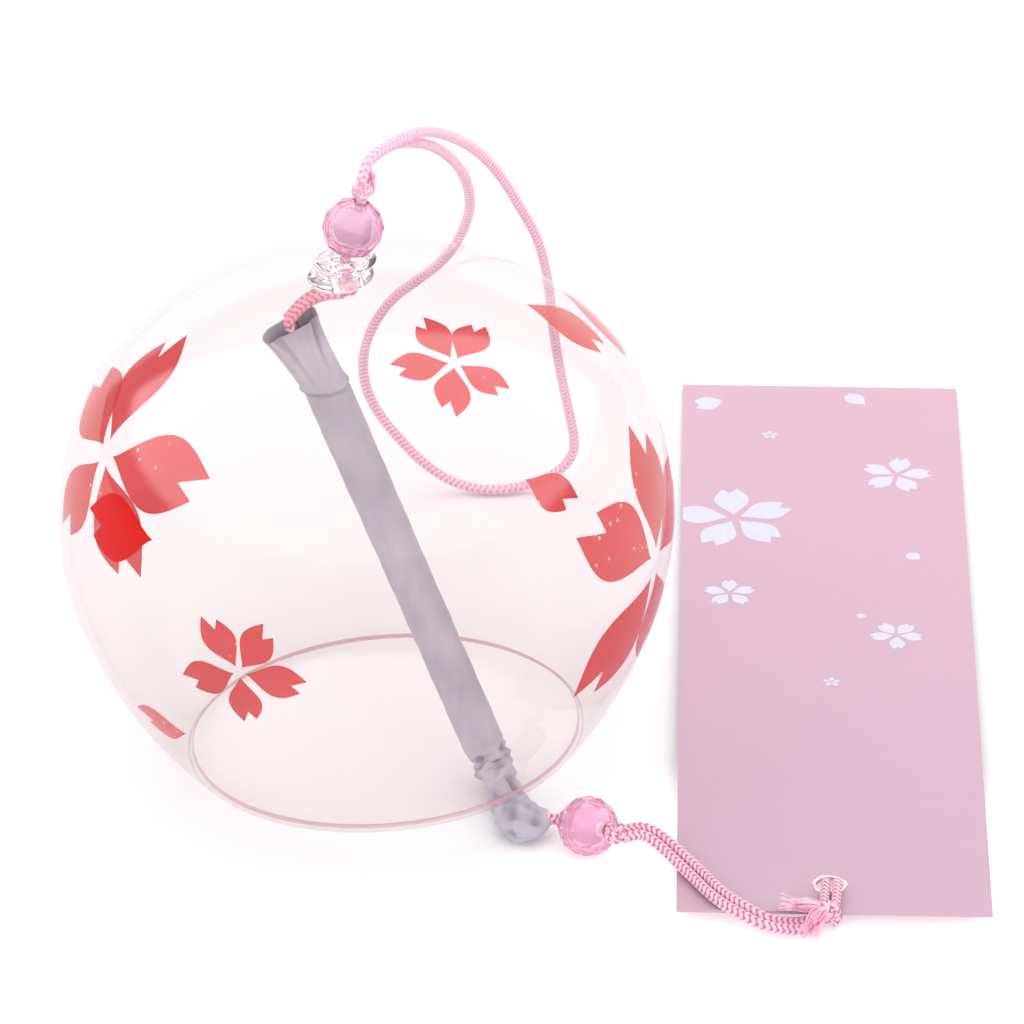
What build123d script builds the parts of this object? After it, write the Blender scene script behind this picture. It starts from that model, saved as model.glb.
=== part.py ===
from build123d import *
from math import asin, cos, degrees, radians, sin, tan
import os

os.makedirs("parts", exist_ok=True)

# A furin wind bell, lying as it is put down on a table: the glass bell leans on the paper wad of
# its clapper, the hanging loop lies behind it, and the wind card lies beside it.
# Millimetres, +Z up, +X to the right, +Y away from the viewer. The table is z = 0, and the origin
# is on the table under the middle of the object.

# Glass bell, blown in one piece with its collar
globe_d = 80.0
crown_h = 35.1
skirt_reach = 46.8
rim_drop = 31.3
glass_wall = 1.1
rim_round = 0.35
crown_power = 2.32
skirt_power = 1.68
skirt_points = 5
crown_points = 6
globe_x = -22.0
globe_y = -26.75
globe_z = 33.65
globe_place = Vector(globe_x, globe_y, globe_z)
lean_left = 3.87
lean_back = 2.66
lobe_d = 8.3
lobe_t = 1.7
lobe_sink = 0.5
lobe_shift = 0.7
groove_d = 6.8
groove_t = 0.6
lip_d = 7.9
lip_t = 1.2
collar_bore_d = 3.4
mouth_round = 0.5
knot_seat_d = 4.9
knot_seat_h = 1.15
cut_overrun = 1.0

# Cord and its knots
cord_d = 1.6
drop_strand_d = 1.4
loop_d = 1.5
tail_strand_d = 1.5
strip_cord_d = 1.3
bend_share = 0.45
snug_gap = 0.05
part_gap = 0.2
inner_knot_d = 4.0
inner_knot_clear = 0.45
inner_knot_flat = 0.25
top_knot_d = 2.4
top_knot_len = 2.8
top_knot_turns = 4
top_knot_head_d = 2.8
top_knot_tilt = 3.0
cut_end_d = 1.5
cut_end_len = 2.2
cut_end_side = 0.95
loop_turn_r = 1.65
bead_knot_d = 2.8
bead_knot_len = 2.4
bead_knot_turns = 3
knot_groove_share = 0.84
strip_knot_d = 3.1
strip_turn_r = 1.85

# Beads: a clear faceted shell moulded round a matt core
bead_d = 8.0
bead_core_d = 5.2
bead_bore_gap = 0.08
bead_sides = 10
bead_latitudes = (-72, -44, -15, 15, 44, 72)
upper_bead_tilt_right = 16.3
upper_bead_tilt_back = 1.2
bead_lip_gap = 0.3
lower_bead_x = 6.6
lower_bead_y = -53.55
lower_bead_place = Vector(lower_bead_x, lower_bead_y, bead_d / 2)
lower_bead_azimuth = -48.0
lower_bead_rise = 16.0
link_lead = 5.4
link_turn_r = 1.05

# Clapper: a thin glass tube in a wrap of crumpled mulberry paper
tube_d = 5.0
tube_bore_d = 3.4
tube_len = 53.4
tube_inset = 0.6
wrap_t = 0.25
wrap_gap = 0.02
mouth_w = 6.9
mouth_t = 2.5
wad_grip = 1.5
wad_sink = 0.15

# Wind card
card_w = 40.0
card_len = 141.0
card_t = 0.45
card_yaw = 1.77
card_lift = 1.6
card_x = 37.57
card_y = -70.47
card_near_edge = Vector(card_x, card_y, 0)
card_hole_d = 3.4
card_hole_inset = 6.3
card_hole_side = -0.55

# The crumpled wad: places along it, and its half width and half thickness there
wad_route = [(-4.6, -41.75, 2.6), (-3.2, -45.85, 1.98), (-1.6, -49.55, 1.95), (-0.9, -51.75, 1.6)]
wad_places = [Vector(*place) for place in wad_route]
wad_halves = [(2.3, 1.9), (2.9, 1.7), (3.9, 1.65), (4.1, 1.0)]
wad_axis = Vector(0.30, -0.95, -0.09)
wad_across = Vector(0.94, 0.33, 0.06)
mouth_across = Vector(0.924, 0, 0.382)

# Where the cord is held, and the ends of the clapper tube, chosen by hand
drop_end_x = -32.1
drop_end_y = -24.55
drop_end_z = 62.3
drop_end = Vector(drop_end_x, drop_end_y, drop_end_z)
tube_top_x = -26.95
tube_top_y = -26.55
tube_top_z = 53.45
tube_top = Vector(tube_top_x, tube_top_y, tube_top_z)
tube_foot_x = -5.7
tube_foot_y = -37.3
tube_foot_z = 3.0
tube_foot = Vector(tube_foot_x, tube_foot_y, tube_foot_z)
strip_knot_x = 36.7
strip_knot_y = -71.6
strip_knot_z = 2.9
strip_knot_place = Vector(strip_knot_x, strip_knot_y, strip_knot_z)
loop_swing_axis = Vector(0.962, -0.27, 0)

# Routes of the cords, chosen by hand
loop_route = [
    (-22.1, -25.6, 82.7), (-21.7, -25.0, 84.7), (-20.5, -23.5, 85.5), (-19.0, -21.2, 85.5),
    (-16.7, -17.2, 84.9), (-14.0, -11.6, 83.0), (-10.6, -2.6, 77.5), (-7.3, 4.5, 71.7),
    (-4.4, 10.0, 65.2), (-2.0, 14.6, 58.3), (0.5, 19.0, 51.3), (1.9, 24.0, 41.6),
    (2.5, 28.5, 32.4), (3.5, 32.5, 23.8), (4.7, 35.8, 16.1), (5.6, 37.9, 10.4),
    (5.6, 39.0, 7.0), (4.2, 39.6, 4.3), (1.5, 40.1, 2.1), (-1.8, 40.2, 0.8),
    (-5.3, 39.2, 0.8), (-8.9, 39.8, 0.8), (-12.4, 39.9, 2.1), (-16.1, 39.0, 5.6),
    (-19.3, 37.6, 10.3), (-22.2, 35.6, 15.6), (-23.9, 33.2, 21.4), (-23.9, 30.6, 27.8),
    (-22.2, 28.0, 33.9), (-19.5, 25.5, 39.1), (-15.9, 23.0, 43.2), (-12.7, 20.5, 47.2),
    (-10.2, 17.0, 52.6), (-8.8, 12.6, 58.8), (-8.8, 8.0, 64.1), (-9.6, 3.0, 69.6),
    (-11.6, -3.4, 75.4), (-14.3, -9.4, 80.1), (-17.9, -16.8, 83.8), (-20.0, -20.6, 84.3),
    (-21.2, -22.7, 84.2), (-21.8, -23.6, 83.7), (-22.0, -24.0, 82.2),
]
tail_far_route = [
    (10.7, -56.4, 5.0), (12.0, -55.4, 4.95), (13.8, -55.0, 4.85), (15.6, -55.9, 4.45),
    (17.4, -57.7, 3.8), (19.3, -60.3, 3.3), (21.4, -63.5, 3.0), (23.2, -67.0, 3.0),
    (25.0, -69.4, 3.0), (26.9, -71.2, 2.9), (28.7, -72.1, 2.2), (30.5, -71.6, 1.3),
    (32.6, -71.2, 0.85), (34.6, -71.35, 1.35), (36.0, -71.2, 2.1),
]
tail_near_route = [
    (11.2, -57.9, 5.0), (12.6, -57.0, 4.95), (14.0, -56.9, 4.75), (15.9, -58.5, 4.0),
    (18.0, -61.2, 3.3), (20.0, -64.3, 3.0), (21.8, -67.8, 3.0), (23.8, -70.5, 3.0),
    (26.0, -72.6, 2.9), (28.3, -73.7, 2.2), (30.8, -73.2, 1.3), (33.0, -72.8, 0.85),
    (34.6, -72.95, 1.35), (35.9, -72.8, 2.1),
]
clapper_route = [
    (-31.9, -24.6, 62.0), (-26.95, -26.55, 53.45), (-5.9, -37.2, 3.45), (-4.2, -43.1, 2.3),
    (-1.5, -47.1, 1.95), (1.2, -49.0, 2.1), (3.13, -49.7, 2.51),
]
drop_strand_side = Vector(0.1, 0.74, 0.02)
drop_route = [(-24.6, -25.2, 66.6), (-26.2, -24.9, 65.0), (-28.6, -24.7, 64.4), (-31.7, -24.6, 62.6)]
strip_strand_sides = (-0.72, 0.72)
strip_loop_route = [
    (36.9, -71.7, 2.3), (37.0, -71.75, 1.3), (37.2, -70.8, 0.74), (37.4, -69.3, 0.72),
    (37.5, -65.7, 0.73), (37.5, -64.6, 1.0), (37.5, -64.15, 1.9), (37.5, -64.7, 2.8),
    (37.4, -66.0, 3.06), (36.9, -70.7, 3.05),
]
left_fray = [(35.9, -71.2, 3.5), (33.6, -70.0, 3.5), (31.0, -68.7, 3.2)]
front_fray = [(36.0, -72.4, 3.6), (35.2, -74.4, 3.3), (33.9, -76.6, 2.65)]
fray_root_d = 1.3
fray_tip_w = 2.6
fray_tip_t = 1.4
fray_middle_share = 0.6


def unit(vector):
    return vector.normalized()


def tilted(right, back):
    """A direction that leans from straight up by these angles, in degrees."""
    return unit(Vector(sin(radians(right)), sin(radians(back)), (1 - sin(radians(right)) ** 2
                - sin(radians(back)) ** 2) ** 0.5))


def frame_at(origin, axis, across=Vector(1, 0, 0)):
    """A plane square to axis, with its x direction as near to across as that allows."""
    axis = unit(axis)
    return Plane(origin, x_dir=unit(across - axis * across.dot(axis)), z_dir=axis)


def cord(name, route, diameter, shift=Vector(0, 0, 0)):
    """Straight runs joined by tangent arcs, each as large as its two runs allow."""
    points = [Vector(*point) + shift for point in route]
    radii = []
    for before, corner, after in zip(points, points[1:], points[2:]):
        turn = radians((corner - before).get_angle(after - corner))
        run = min((corner - before).length, (after - corner).length)
        radii.append(bend_share * run / tan(turn / 2))
    path = FilletPolyline(*points, radius=radii)
    solid = sweep(frame_at(path @ 0, path % 0) * Circle(diameter / 2), path=path)
    section = Circle(diameter / 2).area
    print(name, "length", round(path.length, 1), "volume share of section x length",
          round(solid.volume / (section * path.length), 4), "radii", [round(r, 1) for r in radii])
    return solid


def ribbed_barrel(diameter, length, turns):
    """Turns of cord wound tight round an axis, as a barrel with one round rib for each turn."""
    pitch = length / turns
    outer = diameter / 2
    inner = outer * knot_groove_share
    edges = [Line((0, 0), (inner, 0))]
    for turn in range(turns):
        low = turn * pitch
        edges.append(ThreePointArc((inner, low), (outer, low + pitch / 2), (inner, low + pitch)))
    edges += [Line((inner, length), (0, length)), Line((0, length), (0, 0))]
    return revolve(Plane.XZ * make_face(edges), axis=Axis.Z)


def flat_loft(sections):
    """A loft through ellipses given as plane, half width and half thickness."""
    return loft([plane * Ellipse(width, depth) for plane, width, depth in sections])


# The bell's own axis, along which heights are counted from its widest circle
globe_axis = tilted(-lean_left, lean_back)
globe_frame = frame_at(globe_place, globe_axis)
lobe_low = crown_h - lobe_sink
lobe_top = lobe_low + lobe_t
lip_low = lobe_top + groove_t
lip_top = lip_low + lip_t
inner_crown = crown_h - glass_wall


def bell_profile(radius, crown, skirt):
    """From the rim to the top: a fuller superellipse above the widest circle than below it."""
    rim_angle = degrees(asin((rim_drop / skirt) ** (skirt_power / 2)))
    points = []
    for step in range(skirt_points, 0, -1):
        angle = radians(rim_angle * step / skirt_points)
        points.append((radius * cos(angle) ** (2 / skirt_power),
                       -skirt * sin(angle) ** (2 / skirt_power)))
    for step in range(crown_points):
        angle = radians(90 * step / crown_points)
        points.append((radius * cos(angle) ** (2 / crown_power),
                       crown * sin(angle) ** (2 / crown_power)))
    points.append((0, crown))
    return points


def make_glass_globe():
    outer = bell_profile(globe_d / 2, crown_h, skirt_reach)
    inner = bell_profile(globe_d / 2 - glass_wall, crown_h - glass_wall, skirt_reach - glass_wall)
    rim_mid = ((outer[0][0] + inner[0][0]) / 2, -rim_drop - rim_round)
    wall = make_face([
        Spline(*outer),
        Line(outer[-1], inner[-1]),
        Spline(*inner),
        ThreePointArc(inner[0], rim_mid, outer[0]),
    ])
    globe = revolve(Plane.XZ * wall, axis=Axis.Z)
    globe += Pos(-lobe_shift, 0, lobe_low) * rounded_disc(lobe_d, lobe_t)
    globe += Pos(0, 0, lip_low) * rounded_disc(lip_d, lip_t)
    groove_low = (lobe_low + lobe_top) / 2
    groove_high = (lip_low + lip_top) / 2
    globe += Pos(0, 0, groove_low) * Cylinder(
        groove_d / 2, groove_high - groove_low, align=(Align.CENTER, Align.CENTER, Align.MIN))
    return globe_frame.location * (globe - collar_hole())


def rounded_disc(diameter, thickness):
    """A disc whose whole edge is one round, as in a ring of glass pulled while hot."""
    flat = diameter / 2 - thickness / 2
    edges = [
        Line((0, 0), (flat, 0)),
        ThreePointArc((flat, 0), (diameter / 2, thickness / 2), (flat, thickness)),
        Line((flat, thickness), (0, thickness)),
        Line((0, thickness), (0, 0)),
    ]
    return revolve(Plane.XZ * make_face(edges), axis=Axis.Z)


def collar_hole():
    """The hole through the collar: a seat for the inner knot, the bore, and its rounded mouth."""
    seat = knot_seat_d / 2
    bore = collar_bore_d / 2
    low = inner_crown - cut_overrun
    seat_top = inner_crown + knot_seat_h
    turn = radians(45)
    arc_mid = (bore + mouth_round * (1 - cos(turn)), lip_top - mouth_round * (1 - sin(turn)))
    high = lip_top + cut_overrun
    edges = [
        Polyline((0, low), (seat, low), (seat, seat_top), (bore, seat_top),
                 (bore, lip_top - mouth_round)),
        ThreePointArc((bore, lip_top - mouth_round), arc_mid, (bore + mouth_round, lip_top)),
        Polyline((bore + mouth_round, lip_top), (bore + mouth_round, high), (0, high), (0, low)),
    ]
    return revolve(Plane.XZ * make_face(edges), axis=Axis.Z)


# The inner knot, and the two cord ends that run on from it to the clapper
inner_knot_centre = globe_place + globe_axis * (inner_crown - inner_knot_clear)


def make_inner_knot():
    radius = inner_knot_d / 2
    ball = Sphere(radius) - Pos(0, 0, 2 * radius - inner_knot_flat) * Box(
        inner_knot_d, inner_knot_d, inner_knot_d)
    return frame_at(inner_knot_centre, globe_axis).location * ball


def make_drop_cord(knot):
    """Two strands that end just above the open mouth of the clapper's paper."""
    guard = Pos(drop_end) * Sphere(cord_d / 2 + part_gap / 2)
    guard += frame_at(drop_end, unit(tube_top - drop_end)).location * Pos(0, 0, -snug_gap) * Box(
        2 * mouth_w, 2 * mouth_w, mouth_w, align=(Align.CENTER, Align.CENTER, Align.MIN))
    strands = []
    for name, side in (("drop strand far", 1), ("drop strand near", -1)):
        strand = cord(name, drop_route, drop_strand_d, drop_strand_side * side)
        strands.append((strand - knot - guard).solids().sort_by(SortBy.VOLUME)[-1])
    return strands


# The upper bead stands in the mouth of the collar, and the top knot stands on it
collar_mouth = globe_place + globe_axis * lip_top
upper_axis = tilted(upper_bead_tilt_right, upper_bead_tilt_back)
upper_bead_place = collar_mouth + upper_axis * (bead_d / 2 + bead_lip_gap)
top_knot_foot = upper_bead_place + upper_axis * (bead_d / 2 + part_gap)
top_knot_axis = tilted(top_knot_tilt, 0)
loop_pivot = top_knot_foot + top_knot_axis * top_knot_len


def make_top_knot():
    """A wound barrel with a round head, and one cut cord end standing up beside it."""
    frame = frame_at(top_knot_foot, top_knot_axis)
    barrel = frame.location * ribbed_barrel(top_knot_d, top_knot_len, top_knot_turns)
    head = Pos(loop_pivot) * Sphere(top_knot_head_d / 2)
    stub = Cylinder(cut_end_d / 2, cut_end_len, align=(Align.CENTER, Align.CENTER, Align.MIN))
    stub = fillet(stub.edges().filter_by(GeomType.CIRCLE).sort_by(Axis.Z)[-1], cut_end_d / 4)
    place = Pos(cut_end_side, 0, top_knot_len - cut_end_len / 2)
    return barrel + head + frame.location * place * stub


def make_collar_cord(knot):
    low = inner_knot_centre + globe_axis * (inner_knot_d / 2 - inner_knot_flat + part_gap)
    route = [tuple(low), tuple(collar_mouth), tuple(top_knot_foot + upper_axis * cord_d / 2)]
    return cord("collar cord", route, cord_d) - knot


def make_hanging_loop():
    """The loop stops short of all that the top knot fills round the line it swings about."""
    guard = frame_at(loop_pivot, loop_swing_axis).location * Cylinder(loop_turn_r, top_knot_d * 2)
    loop = cord("hanging loop", loop_route, loop_d) - guard
    return loop.solids().sort_by(SortBy.VOLUME)[-1]


# Beads
def bead_hole():
    return Cylinder(cord_d / 2 + bead_bore_gap, bead_d + cut_overrun)


def make_bead_shell(place, axis):
    """A ball cut in flat facets, with a round hollow for the core and a hole for the cord."""
    radius = bead_d / 2
    rings = []
    for latitude in bead_latitudes:
        ring = radius * cos(radians(latitude))
        rings.append(Pos(0, 0, radius * sin(radians(latitude)))
                     * RegularPolygon(ring, side_count=bead_sides))
    ball = loft(rings, ruled=True)
    shell = ball - Sphere(bead_core_d / 2 + snug_gap) - bead_hole()
    return frame_at(place, axis).location * shell


def make_bead_core(place, axis):
    return frame_at(place, axis).location * (Sphere(bead_core_d / 2) - bead_hole())


# Clapper
tube_axis = unit(tube_foot - tube_top)
tube_reach = (tube_foot - tube_top).length
wrap_r = tube_d / 2 + wrap_gap + wrap_t


def make_clapper_tube():
    solid = Cylinder(tube_d / 2, tube_len, align=(Align.CENTER, Align.CENTER, Align.MIN))
    solid -= Cylinder(tube_bore_d / 2, tube_len, align=(Align.CENTER, Align.CENTER, Align.MIN))
    return frame_at(tube_top + tube_axis * tube_inset, tube_axis).location * solid


def flare(half_width, half_thickness, neck_r):
    """The open mouth of the paper, pressed flat at the top and round at the neck."""
    mouth_axis = unit(tube_top - drop_end)
    return flat_loft([
        (frame_at(drop_end, mouth_axis, mouth_across), half_width, half_thickness),
        (frame_at(tube_top, tube_axis, mouth_across), neck_r, neck_r),
    ])


def make_paper_wrap():
    """One sheet rolled round the tube, open and flat at the top, twisted to a wad at the foot."""
    neck = frame_at(tube_top, tube_axis, wad_across)
    wrap = flare(mouth_w / 2, mouth_t / 2, wrap_r)
    wrap += neck.location * Cylinder(
        wrap_r, tube_reach, align=(Align.CENTER, Align.CENTER, Align.MIN))
    wad_start = frame_at(tube_foot - tube_axis * wad_grip, tube_axis, wad_across)
    sections = [(wad_start, wrap_r - wad_sink, wrap_r - wad_sink)]
    for place, (width, depth) in zip(wad_places, wad_halves):
        sections.append((frame_at(place, wad_axis, wad_across), width, depth))
    wrap += flat_loft(sections)
    wrap -= flare(mouth_w / 2 - wrap_t, mouth_t / 2 - wrap_t, wrap_r - wrap_t)
    bore_len = tube_inset + tube_len + snug_gap
    wrap -= neck.location * Cylinder(
        wrap_r - wrap_t, bore_len, align=(Align.CENTER, Align.CENTER, Align.MIN))
    wrap -= cord("cord channel", clapper_route, cord_d + 2 * snug_gap)
    return wrap - Pos(link_start) * Sphere(link_turn_r)


# Lower bead, its cord and the two strands of the tail
def direction(azimuth, rise):
    flat = cos(radians(rise))
    return Vector(flat * cos(radians(azimuth)), flat * sin(radians(azimuth)), sin(radians(rise)))


lower_axis = direction(lower_bead_azimuth, lower_bead_rise)
link_start = lower_bead_place - lower_axis * link_lead
bead_knot_foot = lower_bead_place + lower_axis * (bead_d / 2 + part_gap)


def make_clapper_cord():
    guard = Pos(link_start) * Sphere(link_turn_r)
    return (cord("clapper cord", clapper_route, cord_d) - guard).solids().sort_by(SortBy.VOLUME)[-1]


def make_link_cord():
    """A straight run with a round end, which turns in the hollow left in the wad."""
    length = link_lead + (bead_knot_foot - lower_bead_place).length
    run = Cylinder(cord_d / 2, length, align=(Align.CENTER, Align.CENTER, Align.MIN))
    return frame_at(link_start, lower_axis).location * (run + Sphere(cord_d / 2))


def make_bead_knot():
    return frame_at(bead_knot_foot, lower_axis).location * ribbed_barrel(
        bead_knot_d, bead_knot_len, bead_knot_turns)


def make_tail_strand(name, route, knot):
    """One strand, which ends clear of all that turns with the strip knot."""
    guard = Pos(strip_knot_place) * Cylinder(strip_turn_r, 2 * strip_knot_d)
    strand = cord(name, route, tail_strand_d) - knot - guard
    return strand.solids().sort_by(SortBy.VOLUME)[-1]


# Wind card, its loop of cord and the frayed ends
def make_paper_strip():
    along = unit(Vector(sin(radians(card_yaw)), cos(radians(card_yaw)), 0))
    across = Vector(along.Y, -along.X, 0)
    slope = asin(card_lift / card_len)
    along = along * cos(slope) - Vector(0, 0, sin(slope))
    near_edge = card_near_edge + Vector(0, 0, card_lift)
    frame = Plane(near_edge, x_dir=across, z_dir=across.cross(along))
    card = Box(card_w, card_len, card_t, align=(Align.CENTER, Align.MIN, Align.MIN))
    hole = Pos(card_hole_side, card_hole_inset, 0) * Cylinder(
        card_hole_d / 2, card_t + 2 * cut_overrun)
    return frame.location * (card - hole)


def make_strip_knot():
    return Pos(strip_knot_place) * Sphere(strip_knot_d / 2)


def make_strip_loop(knot):
    strands = []
    for side in strip_strand_sides:
        strand = cord("strip loop", strip_loop_route, strip_cord_d, Vector(side, 0, 0)) - knot
        strands.append(strand.solids().sort_by(SortBy.VOLUME)[-1])
    return strands


def make_frayed_end(route, knot):
    """A cord end that opens out into a flat tuft."""
    root, middle, tip = [Vector(*point) for point in route]
    axis = unit(tip - root)
    across = unit(axis.cross(Vector(0, 0, 1)))
    tuft = flat_loft([
        (frame_at(root, axis, across), fray_root_d / 2, fray_root_d / 2),
        (frame_at(middle, axis, across), fray_tip_w / 2 * fray_middle_share, fray_tip_t / 2),
        (frame_at(tip, axis, across), fray_tip_w / 2, fray_tip_t / 2),
    ])
    return (tuft - knot).solids().sort_by(SortBy.VOLUME)[-1]


inner_knot = make_inner_knot()
top_knot = make_top_knot()
bead_knot = make_bead_knot()
strip_knot = make_strip_knot()

parts = {
    "glass_globe": make_glass_globe(),
    "inner_knot": inner_knot,
    "drop_cord": Compound(make_drop_cord(inner_knot)),
    "collar_cord": make_collar_cord(top_knot),
    "top_knot": top_knot,
    "hanging_loop": make_hanging_loop(),
    "upper_bead_shell": make_bead_shell(upper_bead_place, upper_axis),
    "upper_bead_core": make_bead_core(upper_bead_place, upper_axis),
    "clapper_tube": make_clapper_tube(),
    "paper_wrap": make_paper_wrap(),
    "clapper_cord": make_clapper_cord(),
    "link_cord": make_link_cord(),
    "bead_knot": bead_knot,
    "lower_bead_shell": make_bead_shell(lower_bead_place, lower_axis),
    "lower_bead_core": make_bead_core(lower_bead_place, lower_axis),
    "tail_strand_left": make_tail_strand("tail strand far", tail_far_route, bead_knot),
    "tail_strand_right": make_tail_strand("tail strand near", tail_near_route, bead_knot),
    "paper_strip": make_paper_strip(),
    "strip_knot": strip_knot,
    "strip_loop": Compound(make_strip_loop(strip_knot)),
    "frayed_end_left": make_frayed_end(left_fray, strip_knot),
    "frayed_end_front": make_frayed_end(front_fray, strip_knot),
}

for name, solid in parts.items():
    export_step(solid, f"parts/{name}.step")

for name, place in (("inner knot", inner_knot_centre), ("collar mouth", collar_mouth),
                    ("upper bead", upper_bead_place), ("upper axis", upper_axis),
                    ("loop pivot", loop_pivot), ("link start", link_start),
                    ("lower axis", lower_axis)):
    print(name, [round(value, 3) for value in place])
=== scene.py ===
import bmesh
import bpy
import numpy as np
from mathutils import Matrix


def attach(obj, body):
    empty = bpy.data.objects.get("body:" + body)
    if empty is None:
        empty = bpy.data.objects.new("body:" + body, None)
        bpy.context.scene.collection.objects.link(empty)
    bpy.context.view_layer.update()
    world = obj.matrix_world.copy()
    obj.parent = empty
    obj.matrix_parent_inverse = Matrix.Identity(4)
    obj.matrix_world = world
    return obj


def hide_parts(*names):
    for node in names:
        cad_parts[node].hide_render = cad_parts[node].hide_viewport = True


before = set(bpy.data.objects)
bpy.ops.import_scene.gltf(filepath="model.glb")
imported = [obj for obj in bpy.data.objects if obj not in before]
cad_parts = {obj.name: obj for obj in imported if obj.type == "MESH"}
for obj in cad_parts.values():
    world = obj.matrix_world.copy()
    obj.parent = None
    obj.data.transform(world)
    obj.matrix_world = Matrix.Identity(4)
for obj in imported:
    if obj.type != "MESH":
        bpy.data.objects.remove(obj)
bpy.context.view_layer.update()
mm = 0.001

# Tabletop and studio. The photograph is a high-key product shot: a white table without an edge,
# a broad light tent from the front that the glass mirrors, dimmer corners behind and above, which
# give glass its outlines, and a white sweep at the back. The tabletop glows softly near the card,
# where the picture has no shadow. The camera stands low in front and looks down at 30 degrees.
camera_place = np.array([-3.19, -707.24, 427.13]) * mm
camera_tilt = np.radians(60.06)
focal_pixels, picture_pixels = 6044.3, 1024
sensor_width = 36.0
table_half, table_drop = 2.5, 0.2 * mm
glow_place, glow_reach = np.array([35.0, -73.0, 0.0]) * mm, 50 * mm
glow_light = (0.4, 0.4, 0.4)
tent_low, tent_back = 0.25, 0.65
sweep_back, sweep_top = 0.80, 0.34
tent_light, mirrored_light = (1.45, 1.46, 1.48), (2.9, 2.95, 3.05)
corner_light, sweep_light = (0.42, 0.40, 0.43), (1.5, 1.48, 1.5)


class Wire:
    """A socket of a shader tree. Sums on it add Math nodes, and node() adds any other node."""

    def __init__(self, tree, socket=None):
        self.tree, self.socket = tree, socket

    def node(self, kind, settings=None, values=None, out=0):
        """A new node: its settings first, then the value or link of each socket that is named."""
        made = self.tree.nodes.new(kind)
        for name, value in (settings or {}).items():
            setattr(made, name, value)
        for name, value in (values or {}).items():
            if isinstance(value, Wire):
                self.tree.links.new(value.socket, made.inputs[name])
            else:
                made.inputs[name].default_value = value
        return Wire(self.tree, made.outputs[out])

    def math(self, operation, *others):
        """A Math node of this wire and the others."""
        return self.node("ShaderNodeMath", {"operation": operation},
                         dict(enumerate((self, *others))))

    def __add__(self, other):
        return self.math("ADD", other)

    def __mul__(self, other):
        return self.math("MULTIPLY", other)

    def __rsub__(self, other):
        return self.node("ShaderNodeMath", {"operation": "SUBTRACT"}, {0: other, 1: self})

    __radd__, __rmul__ = __add__, __mul__

    def above(self, edge, width):
        """0 below the edge and 1 above it, with a soft step of this width between."""
        return self.node("ShaderNodeMapRange", {"interpolation_type": "SMOOTHSTEP"},
                         {0: self, 1: edge - width / 2, 2: edge + width / 2})

    def blend(self, low, high):
        """Colour low where this wire is 0 and colour high where it is 1."""
        low, high = [value if isinstance(value, Wire) else (*value, 1) for value in (low, high)]
        return self.node("ShaderNodeMix", {"data_type": "RGBA"}, {0: self, 6: low, 7: high}, 2)

    def place(self):
        """Coordinates of the piece itself, or in the sky the direction looked in."""
        return self.node("ShaderNodeTexCoord", out=3)

    def kept(self, name):
        """The value at each point that keep() gave the mesh."""
        return self.node("ShaderNodeAttribute", {"attribute_name": name}, out=2)

    def noise(self, scale, detail, place=None, **more):
        """Noise over the piece's own coordinates, or over the place that is given."""
        place = place or self.place()
        return self.node("ShaderNodeTexNoise", values={"Vector": place, "Scale": scale,
                                                       "Detail": detail, **more})

    def bump(self, strength, distance):
        """The normal of a surface that this wire raises and lowers."""
        return self.node("ShaderNodeBump", values={"Strength": strength, "Distance": distance,
                                                   "Height": self})


def finish(name, **constants):
    """A new material: returns it, its Principled shader and a first wire."""
    material = bpy.data.materials.new(name)
    material.use_nodes = True
    shader = material.node_tree.nodes["Principled BSDF"]
    for socket, value in constants.items():
        shader.inputs[socket.replace("_", " ")].default_value = value
    return material, shader, Wire(material.node_tree)


def feed(shader, **wires):
    """Link each wire to the shader's socket of that name."""
    for socket, wire in wires.items():
        wire.tree.links.new(wire.socket, shader.inputs[socket.replace("_", " ")])


sky = bpy.data.worlds.new("light tent")
sky.use_nodes = True
bpy.context.scene.world = sky
air = Wire(sky.node_tree)
bearing = air.place()
north, up = [air.node("ShaderNodeSeparateXYZ", values={0: bearing}, out=axis)
             for axis in (1, 2)]
tent = up.above(tent_low, 0.10) * (1 - north.above(tent_back, 0.07))
mirrored = air.node("ShaderNodeLightPath", out=3)
bright = mirrored.blend(tent_light, mirrored_light)
sweep = north.above(sweep_back, 0.06) * (1 - up.above(sweep_top, 0.08))
radiance = tent.blend(sweep.blend(corner_light, sweep_light), bright)
sky.node_tree.links.new(radiance.socket, sky.node_tree.nodes["Background"].inputs[0])


def new_piece(name, points, faces, smooth=True):
    """A mesh of these points and faces, as an object in the scene."""
    mesh = bpy.data.meshes.new(name)
    mesh.from_pydata(points, [], faces)
    mesh.polygons.foreach_set("use_smooth", [smooth] * len(mesh.polygons))
    piece = bpy.data.objects.new(name, mesh)
    bpy.context.scene.collection.objects.link(piece)
    return piece


def repaint(node, paint):
    """Give the CAD's own mesh of this node the material."""
    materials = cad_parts[node].data.materials
    materials.clear()
    materials.append(paint)


table = new_piece("table", [(x * table_half, y * table_half, -table_drop)
                            for x, y in ((-1, -1), (1, -1), (1, 1), (-1, 1))], [(0, 1, 2, 3)],
                  smooth=False)
table_paint, table_shader, first = finish("white table", Base_Color=(0.90, 0.90, 0.90, 1),
                                          Roughness=0.9, Specular_IOR_Level=0.1,
                                          Emission_Strength=1.0)
near_card = first.node("ShaderNodeTexGradient", {"gradient_type": "SPHERICAL"}, {
    "Vector": first.node("ShaderNodeMapping", values={
        "Vector": first.place(), "Location": -glow_place / glow_reach,
        "Scale": (1 / glow_reach,) * 3})})
feed(table_shader, Emission_Color=near_card.above(0.22, 0.3).blend((0, 0, 0), glow_light))
table.data.materials.append(table_paint)

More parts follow.
